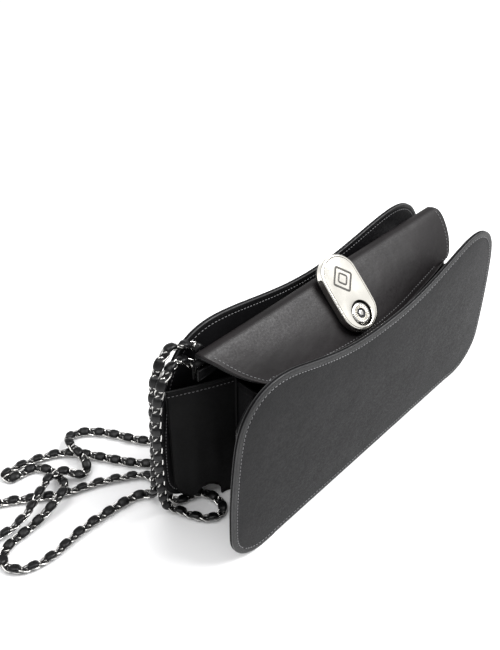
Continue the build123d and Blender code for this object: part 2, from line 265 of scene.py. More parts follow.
# painted sheen: the stitching thread is black, given a grey colour for the light the raised stitches catch
SHEEN_THREAD = cloth("thread", (0.13, 0.13, 0.135), (0.21, 0.21, 0.215), 0.6, 0.3, 0.3, 0.5)
LEATHER = leather("lace_leather", (0.0020, 0.0020, 0.0023), (0.0042, 0.0042, 0.0048), 0.32, 0.26)
PAD = leather("pad_leather", (0.003, 0.003, 0.0033), (0.005, 0.005, 0.0055), 0.5, 0.15)
SILVER = metal("silver", (0.66, 0.65, 0.63), 0.14)
POLISHED = metal("polished_plate", (0.97, 0.945, 0.875), 0.12)
# painted shade: dark metal for the shade in the plate's rim groove, in its recess round the button and in the
# lines of the lozenges
CUT_SHADE = metal("painted_cut_shade", (0.07, 0.068, 0.064), 0.4, strength=0.2)
BRUSHED = metal("brushed", (0.46, 0.44, 0.39), 0.38, (0.05, 5.0, 5.0), 0.3)
# painted shade: dark metal for the shade in the groove round the button's boss
GROOVE_SHADE_METAL = metal("painted_groove_shade", (0.05, 0.05, 0.055), 0.3)


# ---- mesh helpers

def mesh_object(name, points, faces, materials, face_material=None):
    """Smooth mesh from points in millimetres."""
    data = bpy.data.meshes.new(name)
    data.from_pydata((np.asarray(points, float) * MM).tolist(), [], [tuple(f) for f in faces])
    for material in materials:
        data.materials.append(material)
    if face_material is not None:
        data.polygons.foreach_set("material_index", np.asarray(face_material, np.int32))
    data.polygons.foreach_set("use_smooth", [True] * len(data.polygons))
    data.update()
    piece = bpy.data.objects.new(name, data)
    bpy.context.scene.collection.objects.link(piece)
    return piece


def joined(parts):
    """One list of points and faces from several."""
    points, faces, start = [], [], 0
    for some_points, some_faces in parts:
        points.append(some_points)
        faces += [[k + start for k in face] for face in some_faces]
        start += len(some_points)
    return np.concatenate(points), faces


def grid_faces(rows, columns, closed_rows=False, closed_columns=False, flip=False):
    """Quads of a grid of points stored row by row."""
    faces = []
    for r in range(rows if closed_rows else rows - 1):
        below = (r + 1) % rows
        for c in range(columns if closed_columns else columns - 1):
            beside = (c + 1) % columns
            face = [r * columns + c, r * columns + beside, below * columns + beside, below * columns + c]
            faces.append(face[::-1] if flip else face)
    return faces


def tube_faces(rings, count, flip=False):
    """Quads between closed rings of a count of points each, and a face over each end."""
    first = list(range(count))
    last = list(range((rings - 1) * count, rings * count))
    caps = [first, last[::-1]] if flip else [first[::-1], last]
    return grid_faces(rings, count, closed_columns=True, flip=flip) + caps


def unit(vectors):
    return vectors / np.maximum(np.linalg.norm(vectors, axis=-1, keepdims=True), 1e-9)


def ring_angles(count):
    return np.linspace(0, 2 * math.pi, count, endpoint=False)


def loop_ahead(line):
    """Directions along a closed line."""
    return unit(np.roll(line, -1, axis=0) - np.roll(line, 1, axis=0))


def eased_loop(line, passes):
    for _ in range(passes):
        line = (np.roll(line, 1, axis=0) + 2 * line + np.roll(line, -1, axis=0)) / 4
    return line


def box_mm(node):
    return (np.array(v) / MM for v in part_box(node))


def smoothstep(t):
    t = np.clip(t, 0, 1)
    return t * t * (3 - 2 * t)


def respaced(line, step, closed=False):
    """Points about a step apart along a line, and their distances along it."""
    if closed:
        line = np.concatenate([line, line[:1]])
    gaps = np.linalg.norm(np.diff(line, axis=0), axis=1)
    line = line[np.concatenate([[True], gaps > 1e-6])]
    along = np.concatenate([[0], np.cumsum(np.linalg.norm(np.diff(line, axis=0), axis=1))])
    wanted = np.linspace(0, along[-1], max(2, round(along[-1] / step) + 1))
    if closed:
        wanted = wanted[:-1]
    found = np.stack([np.interp(wanted, along, line[:, k]) for k in range(line.shape[1])], axis=1)
    return found, wanted


STITCH_ALONG = np.array([-0.5, -0.32, 0.32, 0.5])  # the rings of a stitch, as shares of its length
STITCH_THICK = np.array([0.35, 1, 1, 0.35])  # their radius, as shares of its radius
STITCH_RISE = np.array([[-0.10], [0.04], [0.04], [-0.10]])  # their height over the cloth in mm
STITCH_WIDE = 1.25  # a stitch's width over its height


def stitches(name, rows, pitch=2.4, length=1.6, radius=0.2):
    """Short raised threads laid along lines; each row is (line, normals, closed)."""
    steps = 5
    rings = len(STITCH_ALONG)
    thick = radius * STITCH_THICK[:, None, None]
    angle = ring_angles(steps)
    wide, tall = STITCH_WIDE * np.cos(angle), np.sin(angle)
    parts = []
    for line, normals, closed in rows:
        packed, along = respaced(np.concatenate([line, normals], axis=1), 0.4, closed)
        total = along[-1]
        for k in range(int(total // pitch)):
            s = (k + 0.5) * pitch + STITCH_ALONG * length
            at = np.stack([np.interp(s, along, packed[:, i]) for i in range(6)], axis=1)
            centre, up = at[:, :3], unit(at[:, 3:])
            ahead = unit(np.repeat((centre[-1] - centre[0])[None], rings, 0))
            side = np.cross(ahead, up)
            around = side[:, None] * wide[:, None] + up[:, None] * tall[:, None]
            ring = (centre + up * STITCH_RISE)[:, None] + around * thick
            parts.append((ring.reshape(-1, 3), tube_faces(rings, steps)))
    piece = mesh_object(name, *joined(parts), [SHEEN_THREAD])
    return piece


# ---- soft slabs

OUTER_FACE, RIM, INNER_FACE = range(3)  # the order of a slab's materials
RIM_TURNS = np.radians([60, 30, 0, -30, -60])  # where the rim's rings lie round its edge


def slab(name, grid, thickness, materials, facing, bulge=0.5):
    """Closed sheet of a thickness over a grid of points, with a rounded rim.

    The grid is its outer face, which looks towards facing; materials are for the outer face, rim and
    inner face. Returns the piece, the outer rim's line, its outward directions and its normals.
    """
    normals = unit(np.cross(np.gradient(grid, axis=1), np.gradient(grid, axis=0)))
    if np.sum(normals @ np.array(facing, float)) < 0:
        grid, normals = grid[:, ::-1], -normals[:, ::-1]
    rows, columns = grid.shape[:2]
    outer, inner = grid, grid - normals * thickness
    order = [(i, 0) for i in range(rows)]
    order += [(rows - 1, j) for j in range(1, columns)]
    order += [(i, columns - 1) for i in range(rows - 2, -1, -1)]
    order += [(0, j) for j in range(columns - 2, 0, -1)]
    order = np.array(order)
    nearest_inside = np.clip(order, 1, (rows - 2, columns - 2))
    loop = order @ (columns, 1)
    inward = nearest_inside @ (columns, 1)
    flat_outer, flat_inner, flat_normal = (a.reshape(-1, 3) for a in (outer, inner, normals))
    edge, edge_normal = flat_outer[loop], flat_normal[loop]
    outward = edge - flat_outer[inward]
    outward = unit(outward - edge_normal * np.sum(outward * edge_normal, axis=1)[:, None])
    points = [flat_outer, flat_inner]
    middle = (edge + flat_inner[loop]) / 2
    for turn in RIM_TURNS:
        points.append(middle + outward * bulge * math.cos(turn)
                      + edge_normal * thickness / 2 * math.sin(turn))
    count, n = rows * columns, len(loop)
    front = grid_faces(rows, columns, flip=True)
    back = [[k + count for k in f] for f in grid_faces(rows, columns)]
    rings = [loop] + [2 * count + k * n + np.arange(n) for k in range(len(RIM_TURNS))] + [loop + count]
    rim = []
    for first, second in zip(rings, rings[1:]):
        for k in range(n):
            m = (k + 1) % n
            rim.append([int(first[k]), int(first[m]), int(second[m]), int(second[k])])
    which = [OUTER_FACE] * len(front) + [INNER_FACE] * len(back) + [RIM] * len(rim)
    piece = mesh_object(name, np.concatenate(points), front + back + rim, materials, which)
    return piece, edge, outward, edge_normal


def soft_box(name, node, body, materials, rows, columns, bulge):
    """Sheet in place of a thin box-shaped CAD node. Returns its outer rim, as slab does."""
    low, high = box_mm(node)
    size = high - low
    thin = int(np.argmin(size))
    u, v = [k for k in range(3) if k != thin]
    grid = np.zeros((rows, columns, 3))
    grid[..., u] = np.linspace(low[u] + bulge, high[u] - bulge, columns)[None, :]
    grid[..., v] = np.linspace(low[v] + bulge, high[v] - bulge, rows)[:, None]
    grid[..., thin] = high[thin]
    piece, edge, outward, normal = slab(name, grid, size[thin], materials, np.eye(3)[thin], bulge)
    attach(piece, body)
    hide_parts(node)
    return edge, outward, normal


# ---- outer panels

PANEL_Y = 28.75  # outer face of either panel
PANEL_T = 2.6
PANEL_STEP = 1.3
STITCH_INSET = 3.6
STITCH_DEPTH = 0.02
# turned edge of a panel: distance in from the outline, and depth under the outer face
PANEL_EDGE = [
    (4.6, 0.0), (3.95, 0.06), (3.6, 0.16), (3.2, 0.05), (2.2, -0.02), (0.8, 0.0), (0.4, 0.09), (0.12, 0.32),
    (0.0, 0.66), (0.1, 0.94), (0.9, 1.2), (0.9, 1.4), (0.1, 1.66), (0.0, 1.94), (0.12, 2.28), (0.4, 2.51),
    (0.8, 2.6), (2.2, 2.62), (3.2, 2.55), (3.6, 2.44), (3.95, 2.54), (4.6, 2.6),
]
EDGE_BANDS = [(3, 17, 1), (6, 8, 2), (9, 12, 3), (13, 15, 2)]  # steps of the edge, and their material; material 2 is the painted highlight on the two rounded edges
PANEL_RINGS = (0.1, 0.22, 0.36, 0.5, 0.64, 0.78, 0.9)  # shares of the way from the edge to the spine
SPINE_SHARE = 0.66  # the spine's X over the outline's
SPINE_HALF = 70
SPINE_Z, SPINE_SLOPE = 52, 0.04
PANEL_CROWN = 0.7  # of the outside, and how far the inside is hollow
PANEL_HOLLOW = 0.25
FOOT_LIFT = 0.6  # of the straight foot off the table, and how this fades out along X and Z
FOOT_HALF, FOOT_FADE, FOOT_HEIGHT = 89, 2, 8


def flat_outline(node, front):
    """Longest outline of a CAD node's flat front or back, in X and Z, anticlockwise from the front."""
    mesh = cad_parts[node].data
    points = np.array([v.co for v in mesh.vertices]) / MM
    face_y = points[:, 1].min() if front else points[:, 1].max()
    edges = {}
    for face in mesh.polygons:
        if any(abs(points[k][1] - face_y) > 0.01 for k in face.vertices):
            continue
        names = [tuple(np.round(points[k][[0, 2]], 2)) for k in face.vertices]
        for a, b in zip(names, names[1:] + names[:1]):
            if (b, a) in edges:
                del edges[(b, a)]  # two faces share it, so it isn't on the outline
            else:
                edges[(a, b)] = True
    loops = []
    onward = dict(edges.keys())
    while onward:
        here = next(iter(onward))
        loop = []
        while here in onward:
            loop.append(here)
            here = onward.pop(here)
        loops.append(np.array(loop))
    longest = max(loops, key=lambda q: np.sum(np.linalg.norm(np.diff(q, axis=0), axis=1)))
    x, z = longest.T
    area = np.sum(x * np.roll(z, -1) - z * np.roll(x, -1))
    line, _ = respaced(longest if area > 0 else longest[::-1], PANEL_STEP, closed=True)
    return eased_loop(line, 3)


def on_panel(flat, depth, face_y, outside):
    """Panel points from X, Z and depth; the straight foot is raised a little off the table."""
    x, z = flat[:, 0], flat[:, 1]
    lift = FOOT_LIFT * smoothstep((FOOT_HALF - np.abs(x)) / FOOT_FADE) * np.clip(1 - z / FOOT_HEIGHT, 0, 1)
    return np.stack([x, np.full(len(x), face_y - outside * depth), z + lift], axis=1)


def outer_panel(name, node, body, face_y, outside):
    """Padded satin panel with two turned edges, sewn together round the rim."""
    line = flat_outline(f"{node}_binding", outside < 0)
    ahead = loop_ahead(line)
    inward = np.stack([-ahead[:, 1], ahead[:, 0]], axis=1)
    count = len(line)
    spine = np.stack([np.clip(line[:, 0] * SPINE_SHARE, -SPINE_HALF, SPINE_HALF),
                      SPINE_Z + SPINE_SLOPE * line[:, 1]], axis=1)

    def inner_rings(edge_inset, depth, crown):
        flat_edge = line + inward * edge_inset
        found = []
        for u in PANEL_RINGS:
            flat = flat_edge + (spine - flat_edge) * u
            rise = crown * (1 - (1 - min(u * 1.5, 1)) ** 2)
            found.append(on_panel(flat, depth - rise, face_y, outside))
        return found

    rings = inner_rings(PANEL_EDGE[0][0], PANEL_EDGE[0][1], PANEL_CROWN)[::-1]
    for inset, depth in PANEL_EDGE:
        rings.append(on_panel(line + inward * inset, depth, face_y, outside))
    rings += inner_rings(PANEL_EDGE[-1][0], PANEL_EDGE[-1][1], -PANEL_HOLLOW)
    faces = tube_faces(len(rings), count, flip=outside > 0)
    which = np.zeros(len(faces), int)
    for first, last, material in EDGE_BANDS:
        start = (len(PANEL_RINGS) + first) * count
        which[start:start + (last - first) * count] = material
    piece = mesh_object(name, np.concatenate(rings), faces,
                        [SATIN, BINDING, TURNED_EDGE_HIGHLIGHT, LINING], which)
    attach(piece, body)
    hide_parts(*[f"{node}_{part}" for part in ("satin", "board", "lining", "binding")])
    rows = []
    for depth, facing in ((STITCH_DEPTH, outside), (PANEL_T - STITCH_DEPTH, -outside)):
        row = on_panel(line + inward * STITCH_INSET, depth, face_y, outside)
        rows.append((row, np.repeat([[0, float(facing), 0]], count, 0), True))
    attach(stitches(f"{name}_stitches", rows), body)


# ---- flap

HINGE = (14.6, 107.0)  # Y and Z
FOLD_R = 5.0
FOLD_DEG = (52, 135)  # where the fold starts behind the hinge and where it runs into the slope
FOLD_ROWS = 22
SLOPE_ROWS = 46
FLAP_COLUMNS = 140
EASING_PASSES = 60  # these ease the fold into the slope
FLAP_T = 2.7
FLAP_CROWN = 1.3
TUCK = [(17.3, 103.4), (17.5, 105.2), (17.9, 107.0), (18.2, 108.8)]  # behind the fold, up from the root
# X and Y of the flap's rounded ends seen from above: start, through and end of each
FLAP_LEFT = ((-99.3, 14.5), (-88.6, 1.5), (-71.5, -8.9))
FLAP_RIGHT = ((110.8, 8.5), (105.4, -2.2), (89.5, -8.6))
FLAP_TIP = (5.5, -17.2)
RIGHT_SHORTER = 4.5  # at the fold, and the Y from which and over which it gets so
SHORTER_FROM_Y, SHORTER_OVER = 9.5, 7
DROOP_LEFT, DROOP_RIGHT = 0.9, 2.6  # of the front corners
DROOP_FROM = 0.55  # share of the way out from the middle
DROOP_FORWARD = 0.3
FLAP_STITCH_INSET, FLAP_STITCH_LIFT = 3.4, 0.02


def flap_rows():
    """Y and Z along the flap, from its root to the end of the fold."""
    fold = [(HINGE[0] + FOLD_R * math.cos(turn), HINGE[1] + FOLD_R * math.sin(turn))
            for turn in np.radians(np.linspace(*FOLD_DEG, FOLD_ROWS))]
    return TUCK + fold


def right_shorter(y):
    return RIGHT_SHORTER * smoothstep((y - SHORTER_FROM_Y) / SHORTER_OVER)


def arc(start, through, end, count=40):
    """Points along the circle's arc through three points in a plane."""
    a, b, c = (complex(*v) for v in (start, through, end))
    w = (c - a) / (b - a)
    centre = (b - a) * (w - abs(w) ** 2) / (2j * w.imag) + a
    first, last = a - centre, c - centre
    turn = np.angle(last / first)
    if np.angle((b - centre) / first) * turn < 0:
        turn -= math.copysign(2 * math.pi, turn)
    found = centre + first * np.exp(1j * turn * np.linspace(0, 1, count))
    return np.stack([found.real, found.imag], axis=1)


def flap_grid():
    """Outer face of the flap as a grid; its front edge bows and its ends are rounded."""
    rows = flap_rows()
    slope_y, slope_z = rows[-1]
    c = np.linspace(-1, 1, FLAP_COLUMNS)  # across the flap
    left, right = arc(*FLAP_LEFT)[::-1], arc(*FLAP_RIGHT)[::-1]
    front = arc(FLAP_LEFT[2], FLAP_TIP, FLAP_RIGHT[2])
    front_x = FLAP_LEFT[2][0] + (FLAP_RIGHT[2][0] - FLAP_LEFT[2][0]) * (c + 1) / 2
    end_y = np.interp(front_x, front[:, 0], front[:, 1])
    grid = []
    for y, z in rows:
        high_x = FLAP_RIGHT[0][0] - right_shorter(y)
        x = FLAP_LEFT[0][0] + (high_x - FLAP_LEFT[0][0]) * (c + 1) / 2
        grid.append(np.stack([x, np.full(FLAP_COLUMNS, y), np.full(FLAP_COLUMNS, z)], axis=1))
    for t in np.arange(1, SLOPE_ROWS + 1) / SLOPE_ROWS:
        y = slope_y + (end_y - slope_y) * t
        z = slope_z - (slope_y - y)
        low_x = np.interp(y, left[:, 1], left[:, 0])
        high_x = np.interp(y, right[:, 1], right[:, 0]) - right_shorter(y)
        x = low_x + (high_x - low_x) * (c + 1) / 2
        bow = FLAP_CROWN * math.sin(math.pi * t ** 0.9) ** 1.7 * (1 - np.abs(c) ** 3) * DIAGONAL
        corner = smoothstep((np.abs(c) - DROOP_FROM) / (1 - DROOP_FROM))
        droop = corner * np.where(c > 0, DROOP_RIGHT * t, DROOP_LEFT * t ** 2)
        grid.append(np.stack([x, y - bow - droop * DROOP_FORWARD, z + bow - droop], axis=1))
    grid = np.array(grid)
    for _ in range(EASING_PASSES):
        grid[6:-6] = (grid[5:-7] + 2 * grid[6:-6] + grid[7:-5]) / 4
    return grid


def make_flap():
    grid = flap_grid()
    piece, edge, outward, normal = slab("flap_cover", grid, FLAP_T, [FLAP_SATIN_SHEEN, BINDING, LINING],
                                        facing=(0, -1, 1))
    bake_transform(piece)
    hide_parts("flap_satin", "flap_board", "flap_lining")
    free = edge[:, 1] < HINGE[0] - 3  # the edge in front of the fold
    line = edge - outward * FLAP_STITCH_INSET + normal * FLAP_STITCH_LIFT
    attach(stitches("flap_stitches", [(line[free], normal[free], False)], radius=0.15), "flap")


# ---- clasp

CLASP_CENTRE = (0.0, -2.1, 107.2706)
CLASP_AXES = np.array([(1, 0, 0), (0, DIAGONAL, DIAGONAL), (0, -DIAGONAL, DIAGONAL)])
PLATE = (47.0, 27.0)
BUTTON_AT = -13.4  # along the plate from its middle
RING_POINTS = 144
# plate: distance in from its outline and depth under its face
PLATE_RIM = [
    (0.0, 4.6), (0.0, 3.0), (0.0, 1.5), (0.0, 0.75), (0.1, 0.42), (0.3, 0.17), (0.62, 0.03), (0.95, 0.0),
    (1.3, 0.0), (1.36, 0.14), (1.52, 0.2), (1.68, 0.14), (1.74, 0.0), (2.1, -0.01),
]
RECESS = [(7.9, 0.0), (7.6, 0.06), (7.5, 0.3), (7.5, 3.4), (2.08, 3.4), (2.08, 4.6)]  # radius and depth
FACE_SHARES = (0.25, 0.5, 0.75)  # rings of the face between rim and recess
SHADE_ROWS = [(9, 11), (19, 22)]  # steps of the plate painted dark as shade: the groove along its rim, and the recess
LOZENGES = [(7.6, 8.0, 0.7), (3.8, 4.0, 0.6)]  # half width and height, and half the line's width
LOZENGES_AT = 8.6  # along the plate from its middle
LINE_RISE = 0.06


def clasp_points(x, y, depth):
    """Points in the clasp's plane, at one depth or several under the plate's face."""
    local = np.stack([x, y, np.zeros(len(x)) - depth], axis=-1)
    return np.array(CLASP_CENTRE) + local @ CLASP_AXES


def button_ring(radius, depth, count):
    """Circle of points about the button's middle."""
    angle = ring_angles(count)
    return clasp_points(radius * np.cos(angle), BUTTON_AT + radius * np.sin(angle), depth)


def slot_ring(length, width, inset):
    """Outline of a slot with round ends, the same number of points however far in."""
    angle = ring_angles(RING_POINTS)
    radius = width / 2 - inset
    straight = (length - width) / 2
    x = radius * np.cos(angle)
    y = radius * np.sin(angle) + straight * np.clip(np.sin(angle) * 6, -1, 1)
    return x, y


def make_plate():
    rings = []
    for inset, depth in PLATE_RIM:
        x, y = slot_ring(*PLATE, inset)
        rings.append(clasp_points(x, y, depth))
    angle = ring_angles(RING_POINTS)
    round_x, round_y = RECESS[0][0] * np.cos(angle), BUTTON_AT + RECESS[0][0] * np.sin(angle)
    for t in FACE_SHARES:
        depth = PLATE_RIM[-1][1] * (1 - t)
        rings.append(clasp_points(x + (round_x - x) * t, y + (round_y - y) * t, depth))
    for radius, depth in RECESS:
        rings.append(button_ring(radius, depth, RING_POINTS))
    faces = grid_faces(len(rings), RING_POINTS, True, True)
    which = np.zeros(len(faces), int)
    for first, last in SHADE_ROWS:
        which[first * RING_POINTS:last * RING_POINTS] = 1
    piece = mesh_object("clasp_face", np.concatenate(rings), faces, [POLISHED, CUT_SHADE], which)
    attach(piece, "flap")
    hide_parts("clasp_plate")
    piece.data.set_sharp_from_angle(angle=math.radians(32))


def ribbon(line, normal, half, height):
    """Low closed band along a closed line."""
    ahead = loop_ahead(line)
    side = np.cross(ahead, normal)
    shape = [(-1.0, -0.3), (-0.75, 1.0), (0.75, 1.0), (1.0, -0.3)]
    ring = np.stack([line + side * half * a + normal * height * b for a, b in shape], axis=1)
    return ring.reshape(-1, 3), grid_faces(len(line), 4, True, True)


def make_engraving():
    """Two nested lozenges on the upper half of the plate, each a line raised very slightly and painted dark
    as the shade of a cut line.
    """
    parts = []
    for half_x, half_y, half in LOZENGES:
        corners = np.array([(half_x, 0), (0, half_y), (-half_x, 0), (0, -half_y), (half_x, 0)])
        line, _ = respaced(corners, 0.5)
        line = eased_loop(line[:-1], 4)
        at = clasp_points(line[:, 0], line[:, 1] + LOZENGES_AT, 0)
        parts.append(ribbon(at, CLASP_AXES[2], half, LINE_RISE))
    piece = mesh_object("clasp_engraving", *joined(parts), [CUT_SHADE])
    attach(piece, "flap")


PAD_PROFILE = [  # distance in from the plate's outline and depth under its face
    (3.35, 4.62), (0.95, 4.62), (0.5, 4.8), (0.25, 5.3), (0.23, 5.9), (0.45, 6.5), (0.95, 6.9), (1.55, 7.0),
    (3.35, 7.0),
]


def make_pad():
    rings = []
    for inset, depth in PAD_PROFILE:
        x, y = slot_ring(*PLATE, inset)
        rings.append(clasp_points(x, y, depth))
    faces = tube_faces(len(rings), RING_POINTS, flip=True)
    piece = mesh_object("clasp_cushion", np.concatenate(rings), faces, [PAD])
    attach(piece, "flap")
    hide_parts("clasp_pad")


BRIGHT, DARK, MILLED = range(3)  # the order of the button's materials
BUTTON = [  # material, and radius and depth under the plate's face of each ring
    (BRIGHT, [(0.02, 0.42), (0.9, 0.40), (1.5, 0.46), (1.8, 0.66)]),
    (DARK, [(1.9, 1.05), (2.7, 1.05)]),
    (BRIGHT, [(2.85, 0.66)]),
    (MILLED, [(3.1, 0.5), (3.4, 0.48), (4.0, 0.46), (4.6, 0.46)]),
    (BRIGHT, [(4.9, 0.44), (5.3, 0.44), (5.8, 0.54), (6.2, 0.82), (6.45, 1.2), (6.6, 1.7), (6.6, 2.1),
              (2.0, 2.1), (2.0, 6.5), (2.0, 11.3), (1.7, 11.6), (0.02, 11.6)]),
]
BUTTON_POINTS = 96
MILLING = 0.12  # depth of the milled teeth
MILLED_FROM = 3.2
TEETH = 24


def make_button():
    """Round press button with a milled ring, a groove painted dark as its shade, and a small bright boss."""
    teeth = MILLING * np.sign(np.sin(ring_angles(BUTTON_POINTS) * TEETH))
    rings, kinds, which = [], [], []
    for kind, profile in BUTTON:
        for radius, depth in profile:
            milled = kind == MILLED and radius > MILLED_FROM
            rings.append(button_ring(radius, depth + teeth * milled, BUTTON_POINTS))
            kinds.append(kind)
    for kind, next_kind in zip(kinds, kinds[1:]):
        which += [max(kind, next_kind)] * BUTTON_POINTS
    faces = tube_faces(len(rings), BUTTON_POINTS, flip=True)
    piece = mesh_object("clasp_press", np.concatenate(rings), faces, [SILVER, GROOVE_SHADE_METAL, BRUSHED],
                        which + [BRIGHT, BRIGHT])
    piece.data.set_sharp_from_angle(angle=math.radians(40))
    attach(piece, "button")
    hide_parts("clasp_button")


# ---- gussets

LEAF_T = 1.1
LEAVES = {  # outer and inner ends in X and Y for the right side, and the top's height at each
    "front": ((112.5, -25.0), (78.7, -2.0), 98.0, 78.8),
    "back": ((115.0, 24.0), (78.7, 9.3), 91.0, 89.0),
}
LEAF_FOOT = 0.6
LEAF_CORNER = (22.0, 27.0)
ARCH = (19.5, 3.4, 9.0)  # distance in from the outer end, height of its centre, radius
LEAF_ROWS = np.concatenate([np.linspace(0, 0.9, 26), [0.93, 0.955, 0.968, 0.975, 0.982, 1.0]])
LEAF_SWELL = 1.5
LEAF_STITCH_INSET = 3.4
LEAF_FOLD, FOLD_WAVE = 0.35, 0.55  # depth of the soft folds low on a leaf, and radians of them per mm
SEAM = (0.35, 2.0, 0.45)  # groove under the binding: depth, distance under the top edge and width


def leaf_foot(into):
    """Height of a leaf's lower edge, with the rounded outer corner and the arch, at distances in."""
    width, height = LEAF_CORNER
    corner = LEAF_FOOT + height * (1 - np.sqrt(np.clip(1 - (1 - into / width) ** 2, 0, 1)))
    foot = np.where(into < width, corner, LEAF_FOOT)
    middle, rise, radius = ARCH
    arch = rise + np.sqrt(np.clip(radius ** 2 - (into - middle) ** 2, 0, None))
    return np.where(np.abs(into - middle) < radius, np.maximum(arch, foot), foot)


def leaf_columns(length):
    """Distances in from a leaf's outer end, closer together along the arch."""
    middle, _, radius = ARCH
    into = np.unique(np.concatenate([
        np.linspace(0.3, length - 0.4, 34),
        middle - radius + np.array([-0.01, 0.3]),
        middle + radius + np.array([-0.3, 0.01]),
        np.linspace(middle - radius + 0.3, middle + radius - 0.3, 15),
    ]))
    return into[np.concatenate([[True], np.diff(into) > 0.15])]


def make_leaf(side, which):
    """Fabric leaf that hangs from an outer panel to the compartment, bound along its top."""
    (x0, y0), (x1, y1), top0, top1 = LEAVES[which]
    mirror = -1 if side == "left" else 1
    length = math.hypot(x1 - x0, y1 - y0)
    into = leaf_columns(length)[None, :]
    low, high = leaf_foot(into), top0 + (top1 - top0) * into / length
    t = LEAF_ROWS[:, None]
    z = low + (high - low) * t
    ahead = np.array([mirror * (x1 - x0), y1 - y0]) / length
    out = np.array([ahead[1], -ahead[0]])
    out = out if out[0] * mirror > 0 else -out
    swell = LEAF_SWELL * np.sin(math.pi * into / length) * (1 - 0.6 * t)
    fold = LEAF_FOLD * np.sin(into * FOLD_WAVE) * (1 - t) ** 2
    seam_depth, seam_down, seam_width = SEAM
    groove = seam_depth * np.exp(-((high - z - seam_down) / seam_width) ** 2)
    push = LEAF_T / 2 + swell + fold - groove
    x = mirror * x0 + ahead[0] * into + out[0] * push
    y = y0 + ahead[1] * into + out[1] * push
    grid = np.stack([x, y, z], axis=-1)
    name = f"gusset_{side}_{which}"
    piece, *_ = slab(f"{name}_leaf", grid, LEAF_T, [SHADED_GUSSET, BINDING, SHADED_GUSSET], (*out, 0), bulge=0.35)
    top_row = grid[-1] + np.array([0, 0, -LEAF_STITCH_INSET])
    normals = np.repeat([[out[0], out[1], 0.0]], len(top_row), 0)
    sewn = stitches(f"{name}_stitches", [(top_row, normals, False)], 2.2, 1.4, 0.14)
    for part in (piece, sewn):
        if which == "front":
            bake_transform(part)
        else:
            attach(part, "bag")
    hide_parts(name, f"{name}_binding")
    for face in piece.data.polygons:  # only the top edge is bound
        if face.material_index == RIM and face.center.z < (min(top0, top1) - 1) * MM:
            face.material_index = OUTER_FACE


# ---- compartment, catch and root

END_TOP = ((-12, -4, 13.6), (74, 84, 84))  # Y, and the height of the compartment's ends there
CATCH_BEND = 26.0  # height at which the catch starts to lean back
CATCH_T = 1.5
ROOT_Y = (15.6, 16.6)
ROOT_TOP = 105.2  # above this it's rolled
ROLL_R = 1.5
EYELETS = (-98.2, -90.0, 90.0, 98.2)
EYELET_Z = 101.1
EYELET_HOLE_R = 3.3


def make_end(side):
    """End wall of the centre compartment, higher at the back than the front."""
    node = f"compartment_{side}_end"
    low, high = box_mm(node)
    y = np.linspace(low[1] + 0.2, high[1] - 0.2, 16)
    top = np.interp(y, *END_TOP)
    z = low[2] + (top - low[2])[None, :] * np.linspace(0.004, 0.996, 18)[:, None]
    grid = np.stack([np.full_like(z, high[0]), np.repeat(y[None], len(z), 0), z], axis=-1)
    piece, *_ = slab(f"{node}_wall", grid, high[0] - low[0], [SHADED_GUSSET, SHADED_GUSSET, LINING],
                     facing=(1, 0, 0), bulge=0.15)
    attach(piece, "bag")
    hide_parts(node)


def make_compartment():
    for node, slot, materials in (
        ("compartment_front_wall", "satin", [LINING, BINDING, SHADED_GUSSET]),
        ("compartment_back_wall", "satin", [SHADED_GUSSET, SHADED_GUSSET, LINING]),
        ("compartment_floor_lining", "lining", [LINING] * 3),
        ("base_panel", "satin", [SHADED_GUSSET, BINDING, SHADED_GUSSET]),
    ):
        edge, outward, normal = soft_box(f"{node}_cover", node, "bag", materials,
                                         rows=24, columns=60, bulge=0.35)
        if node.endswith("_wall"):
            top = edge[:, 2] > edge[:, 2].max() - 0.01
            line = (edge - outward * 2.6)[top]
            order = np.argsort(line[:, 0])
            row = (line[order], normal[top][order], False)
            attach(stitches(f"{node}_stitches", [row]), "bag")
    for side in ("left", "right"):
        make_end(side)
        node = f"strap_anchor_{side}"
        soft_box(f"{node}_tab", node, "bag", [PAD] * 3, rows=8, columns=24, bulge=0.3)


def make_catch():
    """Stiff tab that stands on the front wall and leans back under the clasp."""
    low, high = box_mm("catch_tab")
    bend = (low[1], low[2] + CATCH_BEND)
    knots = np.array([(low[1], low[2] + 0.3), bend, (high[1] - 1.4, high[2] - 0.3)])
    path, _ = respaced(knots, 1.0)
    for _ in range(6):
        path[1:-1] = (path[:-2] + 2 * path[1:-1] + path[2:]) / 4
    x = np.linspace(low[0] + 0.3, high[0] - 0.3, 30)
    grid = np.array([[(v, y, z) for v in x] for y, z in path])
    piece, edge, outward, normal = slab("catch_cover", grid, CATCH_T, [SHADED_GUSSET, BINDING, LINING],
                                        facing=(0, -1, 1), bulge=0.3)
    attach(piece, "bag")
    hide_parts("catch_tab")
    line = edge - outward * 2.2
    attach(stitches("catch_stitches", [(line, normal, True)]), "bag")


